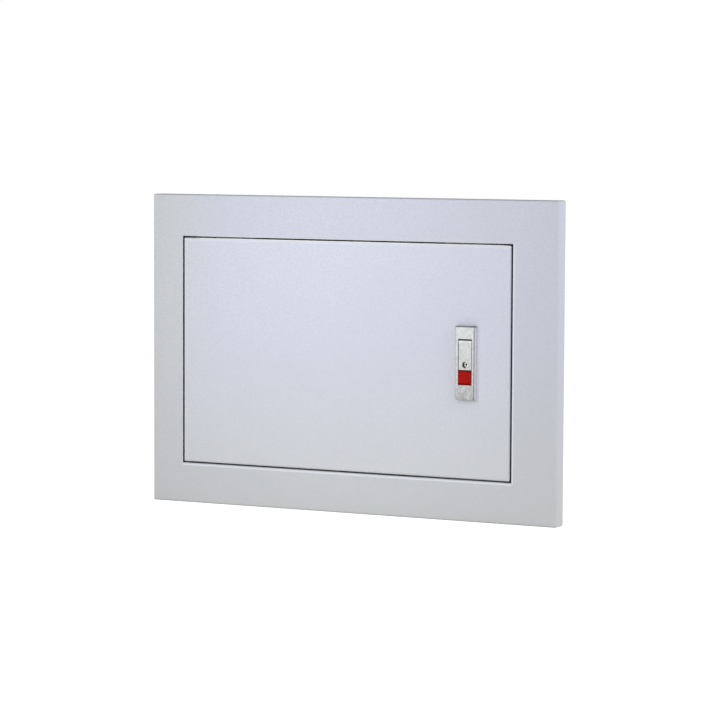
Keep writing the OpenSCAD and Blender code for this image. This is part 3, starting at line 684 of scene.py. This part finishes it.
def plated_steel(finishes):
    """Bright zinc plating, a little cloudy, worn on its edges, with painted shade in its gaps."""
    material, tree, shader = start_finish("zinc_plated", METAL)
    warm = tinted(finishes.plating, (0.92, 0.90, 0.84))
    tone = mottled(tree, finishes.plating, warm, size=6 * MM)
    tone = worn(tree, tone, toned(finishes.plating, 1.25), width=0.25 * MM, breakup=2 * MM)
    # Painted shade in the gaps round the pins and screws.
    gaps = effect(tree, crevices, Reach=5 * MM, Open=0.8)["Mask"]
    tone = blend_colours(tree, gaps, tone, toned(finishes.plating, 0.12))
    fill(tree, shader.inputs["Base Color"], tone)
    grain = grained(tree, shader, 0.3 * MM, smooth=0.26, rough=0.40)
    relief(tree, shader, grain, depth=0.01 * MM, edge_radius=0.15 * MM)
    return material


def casting(name, finishes, rims=()):
    """Satin-plated zinc casting: mottled, with painted shade on its lower part, its upper faces and
    in its gaps, and painted light on its right sides.

    rims are further painted shade lines: a function that makes the line's mask, and its strength.
    """
    material, tree, shader = start_finish(name, METAL)
    tone = mottled(tree, finishes.casting, finishes.casting_shade, size=3 * MM)
    # Painted shade: the castings' lower part is painted darker, in mottled patches.
    top = finishes.touched_top
    low_shade_mask = product(
        tree, spread(tree, axis_value(tree, "Z"), top, top - 20 * MM),
        spread(tree, noise(tree, 2.6 * MM), 0.40, 0.58),
    )
    tone = blend_colours(tree, low_shade_mask, tone, finishes.casting_touched)
    tone = worn(tree, tone, toned(finishes.casting, 1.2), width=0.3 * MM, breakup=3 * MM)
    # Painted light: the right sides are painted lighter, for the side lamp's light on them.
    tone = blend_colours(tree, turned_to(tree, RIGHT, start=0.6), tone, finishes.casting_flank)
    gaps = effect(tree, crevices, Reach=6 * MM, Open=0.52)["Mask"]
    # Masks of the painted shade on the upper faces, in the gaps and along the rims, each with its
    # strength.
    dark = [(turned_to(tree, UP, start=0.25), 0.3), (gaps, 0.97)]
    dark += [(rim(tree, finishes), strength) for rim, strength in rims]
    for mask, strength in dark:
        tone = blend_colours(tree, product(tree, mask, strength), tone, finishes.casting_dark)
    fill(tree, shader.inputs["Base Color"], tone)
    grained(tree, shader, 0.35 * MM, smooth=0.34, rough=0.46)
    peel = effect(tree, orange_peel, Size=0.8 * MM)["Height"]
    relief(tree, shader, peel, depth=0.012 * MM, edge_radius=0.25 * MM)
    return material


def past(tree, axis, edge):
    """Mask of the places past an edge along an axis."""
    softness = 0.2 * MM
    return spread(tree, axis_value(tree, axis), edge - softness, edge + softness)


def top_rim(tree, finishes):
    """Mask of the painted shade line along the bezel's upper rim."""
    return past(tree, "Z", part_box("lock_bezel")[1].z - finishes.casting_line)


def right_rim(tree, finishes):
    """Mask of the painted shade line on the front strip at the bezel's right rim."""
    strip = past(tree, "X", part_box("lock_bezel")[1].x - finishes.casting_line)
    return product(tree, strip, turned_to(tree, FRONT, full=0.8))


def cast_bezel(finishes):
    """The lock's bezel, with painted shade lines along its upper and right rims."""
    return casting("cast_bezel", finishes, rims=((top_rim, 0.80), (right_rim, 0.70)))


def cast_handle(finishes):
    """The lock's handle."""
    return casting("cast_handle", finishes)


def polished_plug(finishes):
    """Turned and polished face of the key cylinder, with painted shade in its keyway."""
    material, tree, shader = start_finish("polished_plug", METAL)
    tone = mottled(tree, finishes.plug, toned(finishes.plug, 0.9), size=1.5 * MM)
    # Painted shade in the keyway.
    slot = effect(tree, crevices, Reach=1.5 * MM, Open=0.65)["Mask"]
    tone = blend_colours(tree, slot, tone, finishes.casting_dark)
    fill(tree, shader.inputs["Base Color"], tone)
    grain = grained(tree, shader, 0.15 * MM, smooth=0.16, rough=0.28)
    relief(tree, shader, grain, depth=0.004 * MM, edge_radius=0.1 * MM)
    return material


def moulded_plastic(name, base, roughness, gloss=0.3, rim=0.0):
    """Injection-moulded plastic with a fine texture, paler worn edges and, where rim is given,
    painted shade along its upper and lower edges.
    """
    material, tree, shader = start_finish(name, {"Specular IOR Level": gloss})
    tone = mottled(tree, base, toned(base, 0.86), size=5 * MM)
    pale = [min(1.0, part * 1.15 + 0.012) for part in base]
    tone = worn(tree, tone, pale, width=0.3 * MM, breakup=2 * MM)
    if rim:
        # Painted shade along the upper and lower edges.
        upper = effect(tree, edge_strip, Width=2 * MM, Towards=UP)["Mask"]
        lower = effect(tree, edge_strip, Width=2 * MM, Towards=DOWN)["Mask"]
        rim_shade = product(tree, math_node(tree, "MAXIMUM", upper, lower), rim)
        tone = blend_colours(tree, rim_shade, tone, toned(base, 0.3))
    fill(tree, shader.inputs["Base Color"], tone)
    hazed(tree, shader, 6 * MM, smooth=roughness, rough=roughness + 0.12)
    peel = effect(tree, orange_peel, Size=0.4 * MM)["Height"]
    relief(tree, shader, peel, depth=0.006 * MM, edge_radius=0.3 * MM)
    return material


def red_plastic(finishes):
    """Dark red of the push button."""
    return moulded_plastic("red_plastic", finishes.button, roughness=0.34, gloss=0.06, rim=0.8)


def blue_plastic(finishes):
    """Blue of the neutral bar's insulators."""
    return moulded_plastic("blue_plastic", finishes.insulator, roughness=0.42)


def rubber(finishes):
    """Black rubber of the door's buffers."""
    return moulded_plastic("rubber", finishes.rubber, roughness=0.72)


def turned_brass(finishes):
    """Brass bar stock, slightly tarnished away from its edges."""
    material, tree, shader = start_finish("brass", METAL)
    tarnish = tinted(finishes.brass, (0.80, 0.74, 0.66))
    tone = mottled(tree, finishes.brass, tarnish, size=9 * MM)
    tone = worn(tree, tone, toned(finishes.brass, 1.15), width=0.3 * MM, breakup=3 * MM)
    fill(tree, shader.inputs["Base Color"], tone)
    grain = grained(tree, shader, 0.3 * MM, smooth=0.24, rough=0.40)
    relief(tree, shader, grain, depth=0.01 * MM, edge_radius=0.2 * MM)
    return material


def spring_steel(finishes):
    """Drawn spring wire."""
    material, tree, shader = start_finish("spring_steel", METAL)
    tone = mottled(tree, finishes.spring, toned(finishes.spring, 0.7), size=2 * MM)
    fill(tree, shader.inputs["Base Color"], tone)
    grained(tree, shader, 0.1 * MM, smooth=0.22, rough=0.36)
    return material


FINISHES = {
    "powder_coat": powder_coat,
    "door_coat": door_coat,
    "galvanised_sheet": galvanised_sheet,
    "zinc_plated": plated_steel,
    "cast_bezel": cast_bezel,
    "cast_handle": cast_handle,
    "polished_plug": polished_plug,
    "red_plastic": red_plastic,
    "blue_plastic": blue_plastic,
    "rubber": rubber,
    "brass": turned_brass,
    "spring_steel": spring_steel,
}


def finish(context, name):
    """The finish of that name, made on first use."""
    made = bpy.data.materials.get(FINISH_PREFIX + name)
    return made or FINISHES[name](context.scene.box_finishes)


def coat_nodes(context, nodes, name):
    """Gives CAD nodes a finish through their material slots."""
    material = finish(context, name)
    for node in nodes:
        for slot in frame["nodes"][node].material_slots:
            slot.material = material


# ---- shapes ----

def add_object(context, name, data):
    """A new object in the scene."""
    made = bpy.data.objects.new(name, data)
    context.scene.collection.objects.link(made)
    return made


def add_piece(context, shape, node, finish_name):
    """Links a made mesh or curve that stands for a CAD node and rides on that node's body."""
    piece = add_object(context, shape.name, shape)
    shape.materials.append(finish(context, finish_name))
    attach(piece, frame["nodes"][node]["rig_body"])
    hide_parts(node)


def turn(form, outline, place_at, steps=48):
    """Adds a body turned about the y axis from an outline of (radius, depth) points."""
    rings = []
    for radius, depth in outline:
        if radius == 0:
            rings.append([form.verts.new(place_at @ Vector((0, depth, 0)))])
            continue
        rings.append([
            form.verts.new(place_at @ Vector((
                radius * math.cos(2 * math.pi * step / steps), depth,
                radius * math.sin(2 * math.pi * step / steps),
            )))
            for step in range(steps)
        ])
    join_rings(form, rings, steps)


def join_rings(form, rings, steps):
    """Joins neighbouring rings of vertices with faces; a ring of one vertex is a tip."""
    for first, second in zip(rings, rings[1:]):
        for step in range(steps):
            after = (step + 1) % steps
            corners = [first[step % len(first)], first[after % len(first)],
                       second[after % len(second)], second[step % len(second)]]
            face = form.faces.new(list(dict.fromkeys(corners)))
            face.smooth = True


def to_mesh(form, name, sharp_angle=35):
    """Closes a form into a mesh whose edges above an angle stay crisp."""
    bmesh.ops.recalc_face_normals(form, faces=form.faces)
    mesh = bpy.data.meshes.new(name)
    form.to_mesh(mesh)
    form.free()
    mesh.set_sharp_from_angle(angle=math.radians(sharp_angle))
    return mesh


def rounded_end(radius, depth, edge, inward, steps=5):
    """Points of an outline that rounds the rim of an end face at a depth."""
    return [
        (radius - edge + edge * math.sin(math.pi / 2 * step / steps),
         depth + inward * edge * (1 - math.cos(math.pi / 2 * step / steps)))
        for step in range(steps + 1)
    ]


def coil_points(coil_radius, rise, turns, wire):
    """Points of a compression spring's wire along z, with a closed turn at each end."""
    closed = wire / rise  # share of the height that an end turn takes
    end = 1 / turns  # share of the wire that an end turn takes
    steps = COIL_STEPS * turns
    points = []
    for step in range(steps + 1):
        way = step / steps
        if way < end:
            height = closed * way / end
        elif way > 1 - end:
            height = 1 - closed * (1 - way) / end
        else:
            height = closed + (1 - 2 * closed) * (way - end) / (1 - 2 * end)
        around = 2 * math.pi * turns * way
        points.append(Vector((
            coil_radius * math.cos(around), coil_radius * math.sin(around), rise * height
        )))
    return points


def wire_curve(name, points, wire):
    """A smooth curve with the thickness of a wire."""
    curve = bpy.data.curves.new(name, "CURVE")
    curve.dimensions = "3D"
    curve.bevel_depth = wire / 2
    curve.bevel_resolution = 4
    curve.use_fill_caps = True
    spline = curve.splines.new("POLY")
    spline.points.add(len(points) - 1)
    for point, here in zip(spline.points, points):
        point.co = (*here, 1)
    spline.use_smooth = True
    return curve


# ---- operators ----

class BoxOperator:
    """What the box's operators share."""

    bl_options = {"REGISTER", "UNDO"}


class BOX_OT_coat_sheets(BoxOperator, bpy.types.Operator):
    """Powder coat on the cover frame, the door and the inner panel"""

    bl_idname = "box.coat_sheets"
    bl_label = "Coat frame, door and panel"

    def execute(self, context):
        coat_nodes(context, COATED, "powder_coat")
        coat_nodes(context, ("door",), "door_coat")
        return {"FINISHED"}


class BOX_OT_galvanise(BoxOperator, bpy.types.Operator):
    """Galvanised finish on the back box, lugs, rail and brackets"""

    bl_idname = "box.galvanise"
    bl_label = "Galvanise box and rail"

    def execute(self, context):
        coat_nodes(context, GALVANISED, "galvanised_sheet")
        return {"FINISHED"}


class BOX_OT_plate_fixings(BoxOperator, bpy.types.Operator):
    """Zinc plating on the screws, pins, pillars, hinges and latch bolt"""

    bl_idname = "box.plate_fixings"
    bl_label = "Plate fixings"

    def execute(self, context):
        coat_nodes(context, PLATED, "zinc_plated")
        return {"FINISHED"}


class BOX_OT_brass_bars(BoxOperator, bpy.types.Operator):
    """Brass on the terminal bars, their pillars and the earth nuts"""

    bl_idname = "box.brass_bars"
    bl_label = "Brass bars and nuts"

    def execute(self, context):
        coat_nodes(context, BRASS, "brass")
        return {"FINISHED"}


class BOX_OT_insulators(BoxOperator, bpy.types.Operator):
    """Blue plastic on the neutral bar's insulators"""

    bl_idname = "box.insulators"
    bl_label = "Insulators"

    def execute(self, context):
        coat_nodes(context, ("neutral_insulators",), "blue_plastic")
        return {"FINISHED"}


class BOX_OT_lock_castings(BoxOperator, bpy.types.Operator):
    """Satin plating on the lock's bezel and handle"""

    bl_idname = "box.lock_castings"
    bl_label = "Lock castings"

    def execute(self, context):
        coat_nodes(context, ("lock_bezel",), "cast_bezel")
        coat_nodes(context, ("lock_handle",), "cast_handle")
        return {"FINISHED"}


class BOX_OT_lock_button(BoxOperator, bpy.types.Operator):
    """Red plastic on the push button"""

    bl_idname = "box.lock_button"
    bl_label = "Push button"

    def execute(self, context):
        coat_nodes(context, ("lock_button",), "red_plastic")
        return {"FINISHED"}


class BOX_OT_key_cylinder(BoxOperator, bpy.types.Operator):
    """Polished finish on the key cylinder"""

    bl_idname = "box.key_cylinder"
    bl_label = "Key cylinder"

    def execute(self, context):
        coat_nodes(context, ("key_cylinder",), "polished_plug")
        return {"FINISHED"}


class BOX_OT_springs(BoxOperator, bpy.types.Operator):
    """Coil springs behind the button and on the latch bolt"""

    bl_idname = "box.springs"
    bl_label = "Springs"

    def execute(self, context):
        details = context.scene.box_details
        quarter = math.pi / 2
        self.coil(context, "button_spring", details.button_turns, Matrix.Rotation(quarter, 4, "X"))
        self.coil(context, "latch_spring", details.latch_turns, Matrix.Rotation(quarter, 4, "Y"))
        return {"FINISHED"}

    def coil(self, context, node, turns, stand):
        """A spring that fills its node's box, standing on the side that the rotation gives."""
        wire = context.scene.box_details.wire
        low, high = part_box(node)
        size = high - low
        along = stand @ Vector((0, 0, 1))
        rise = abs(size.dot(along)) - wire
        diameter = sorted(size)[1]  # two sides are the coil's width, so the middle one is
        foot = (low + high) / 2 - along * rise / 2
        points = coil_points((diameter - wire) / 2, rise, turns, wire)
        placed = [foot + stand @ point for point in points]
        add_piece(context, wire_curve(node + "_wire", placed, wire), node, "spring_steel")


class BOX_OT_earth_studs(BoxOperator, bpy.types.Operator):
    """Threaded earth studs on the door and in the box"""

    bl_idname = "box.earth_studs"
    bl_label = "Earth studs"

    def execute(self, context):
        for node in ("door_earth_stud", "box_earth_stud"):
            self.stud(context, node)
        return {"FINISHED"}

    def stud(self, context, node):
        """A stud with a rolled thread, plain for its first turn from the weld."""
        details = context.scene.box_details
        pitch = details.thread_pitch
        low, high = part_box(node)
        radius = (high.x - low.x) / 2
        height = high.y - low.y
        rows = round(height / pitch * THREAD_RINGS)
        form = bmesh.new()
        rings = [[form.verts.new((0, 0, 0))]]
        for row in range(rows + 1):
            depth = height * row / rows
            chamfer = max(0.0, 1 - (height - depth) / pitch)
            ring = []
            for step in range(THREAD_STEPS):
                share_round = step / THREAD_STEPS
                phase = (depth / pitch - share_round) % 1
                groove = 0 if depth < pitch else abs(2 * phase - 1)
                here = radius - details.thread_depth * max(groove, chamfer)
                around = 2 * math.pi * share_round
                ring.append(form.verts.new((
                    here * math.cos(around), depth, here * math.sin(around)
                )))
            rings.append(ring)
        rings.append([form.verts.new((0, height, 0))])
        join_rings(form, rings, THREAD_STEPS)
        # The door's stud points back into the box and the box's stud points forward.
        points_back = node.startswith("door")
        weld = low.y if points_back else high.y
        foot = Vector(((low.x + high.x) / 2, weld, (low.z + high.z) / 2))
        turned = Matrix() if points_back else Matrix.Rotation(math.pi, 4, "Z")
        form.transform(Matrix.Translation(foot) @ turned)
        add_piece(context, to_mesh(form, node + "_thread"), node, "zinc_plated")


class BOX_OT_buffers(BoxOperator, bpy.types.Operator):
    """Rubber buffers that the door rests on"""

    bl_idname = "box.buffers"
    bl_label = "Door buffers"

    def execute(self, context):
        details = context.scene.box_details
        low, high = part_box("door_buffers")
        radius = details.buffer_width / 2
        stem = details.buffer_stem / 2
        seat = high.y - details.buffer_plug
        barb = seat + details.buffer_hold
        bevel = 0.3 * MM
        barb_edge = (stem + details.buffer_barb, barb + 0.05 * MM)
        tip = stem - 0.5 * MM
        outline = [
            (0, low.y), *rounded_end(radius, low.y, details.buffer_edge, 1),
            (radius, seat - bevel), (radius - bevel, seat), (stem, seat), (stem, barb),
            barb_edge, (tip, high.y), (0, high.y),
        ]
        form = bmesh.new()
        for x in (low.x + radius, high.x - radius):
            for z in (low.z + radius, high.z - radius):
                turn(form, outline, Matrix.Translation((x, 0, z)))
        add_piece(context, to_mesh(form, "buffer_rubbers"), "door_buffers", "rubber")
        return {"FINISHED"}


class BOX_OT_stage(BoxOperator, bpy.types.Operator):
    """Camera, lamps, floor and surroundings"""

    bl_idname = "box.stage"
    bl_label = "Stage"

    def execute(self, context):
        stage = context.scene.box_stage
        context.scene.view_settings.view_transform = "Standard"
        self.camera(context, stage)
        self.floor(context, stage)
        self.surroundings(context, stage)
        lamps = (
            ("key", stage.key_place, stage.key_size, stage.key_power),
            ("side", stage.side_place, stage.side_size, stage.side_power),
        )
        for name, place_at, size, watts in lamps:
            self.lamp(context, name, place_at, size, watts, stage.lamp_colour)
        return {"FINISHED"}

    def camera(self, context, stage):
        """The camera, which looks at a place near the middle of the box's front."""
        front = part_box("cover_frame")[0].y
        aim = Vector((stage.aim_right, front, -stage.aim_down))
        back = Vector((
            math.sin(stage.azimuth) * math.cos(stage.elevation),
            -math.cos(stage.azimuth) * math.cos(stage.elevation),
            math.sin(stage.elevation),
        ))
        data = bpy.data.cameras.new("camera")
        data.lens = stage.lens
        camera = add_object(context, "camera", data)
        camera.location = aim + back * stage.distance
        camera.rotation_mode = "QUATERNION"
        level = (-back).to_track_quat("-Z", "Y")
        camera.rotation_quaternion = level @ Quaternion((0, 0, 1), stage.roll)
        context.scene.camera = camera

    def lamp(self, context, name, place_at, size, watts, tint):
        """A square soft lamp that faces the middle of the box."""
        low, high = cad_box
        middle = (low + high) / 2
        data = bpy.data.lights.new(name, "AREA")
        data.size = size
        data.energy = watts
        data.color = tint
        lamp = add_object(context, name, data)
        lamp.location = place_at
        lamp.rotation_mode = "QUATERNION"
        lamp.rotation_quaternion = (middle - Vector(place_at)).to_track_quat("-Z", "Y")

    def floor(self, context, stage):
        """A pale floor just under the box, white in view but for the shadow on it."""
        half = stage.floor_size / 2
        level = cad_box[0].z
        form = bmesh.new()
        corners = [(-half, -half), (half, -half), (half, half), (-half, half)]
        form.faces.new([form.verts.new((x, y, level)) for x, y in corners])
        floor = add_object(context, "floor", to_mesh(form, "floor"))
        floor.data.materials.append(self.floor_finish(stage))

    def floor_finish(self, stage):
        """Matt floor, lifted to white where it is in view."""
        material = bpy.data.materials.new("floor")
        tree = bare_tree(material)
        matt = place(tree, "ShaderNodeBsdfDiffuse", {"Color": stage.floor})
        lift = place(tree, "ShaderNodeEmission", {
            "Color": (1, 1, 1), "Strength": product(tree, in_view(tree), stage.floor_lift),
        })
        both = place(tree, "ShaderNodeAddShader", {0: matt.outputs[0], 1: lift.outputs[0]})
        place(tree, "ShaderNodeOutputMaterial", {"Surface": both.outputs[0]})
        return material

    def surroundings(self, context, stage):
        """White surroundings that light the box only gently."""
        world = bpy.data.worlds.new("surroundings")
        tree = bare_tree(world)
        seen = in_view(tree)
        lit = place(tree, "ShaderNodeBackground", {
            "Color": blend_colours(tree, seen, stage.sky, (1, 1, 1)),
            "Strength": spread(tree, seen, 0, 1, stage.ambient, 1),
        })
        place(tree, "ShaderNodeOutputWorld", {"Surface": lit.outputs["Background"]})
        context.scene.world = world


OPERATORS = (
    BOX_OT_coat_sheets,
    BOX_OT_galvanise,
    BOX_OT_plate_fixings,
    BOX_OT_brass_bars,
    BOX_OT_insulators,
    BOX_OT_lock_castings,
    BOX_OT_lock_button,
    BOX_OT_key_cylinder,
    BOX_OT_springs,
    BOX_OT_earth_studs,
    BOX_OT_buffers,
    BOX_OT_stage,
)


class BOX_PT_panel(bpy.types.Panel):
    """Lists the box's operators and settings"""

    bl_idname = "BOX_PT_panel"
    bl_label = "Distribution box"
    bl_space_type = "VIEW_3D"
    bl_region_type = "UI"
    bl_category = "Distribution box"

    def draw(self, context):
        for group in SETTINGS:
            settings = getattr(context.scene, group)
            column = self.layout.column(align=True)
            for name in settings.__annotations__:
                column.prop(settings, name)
        for operator in OPERATORS:
            self.layout.operator(operator.bl_idname)


def register():
    """Registers the settings, the operators and the panel."""
    for group in SETTINGS.values():
        bpy.utils.register_class(group)
    for operator in OPERATORS:
        bpy.utils.register_class(operator)
    bpy.utils.register_class(BOX_PT_panel)
    for name, group in SETTINGS.items():
        setattr(bpy.types.Scene, name, PointerProperty(type=group))


def unregister():
    """Takes away what register() added."""
    for name in SETTINGS:
        delattr(bpy.types.Scene, name)
    bpy.utils.unregister_class(BOX_PT_panel)
    for operator in reversed(OPERATORS):
        bpy.utils.unregister_class(operator)
    for group in reversed(SETTINGS.values()):
        bpy.utils.unregister_class(group)


def main():
    register()
    for operator in OPERATORS:
        family, name = operator.bl_idname.split(".")
        getattr(getattr(bpy.ops, family), name)()


if __name__ == "__main__":
    main()
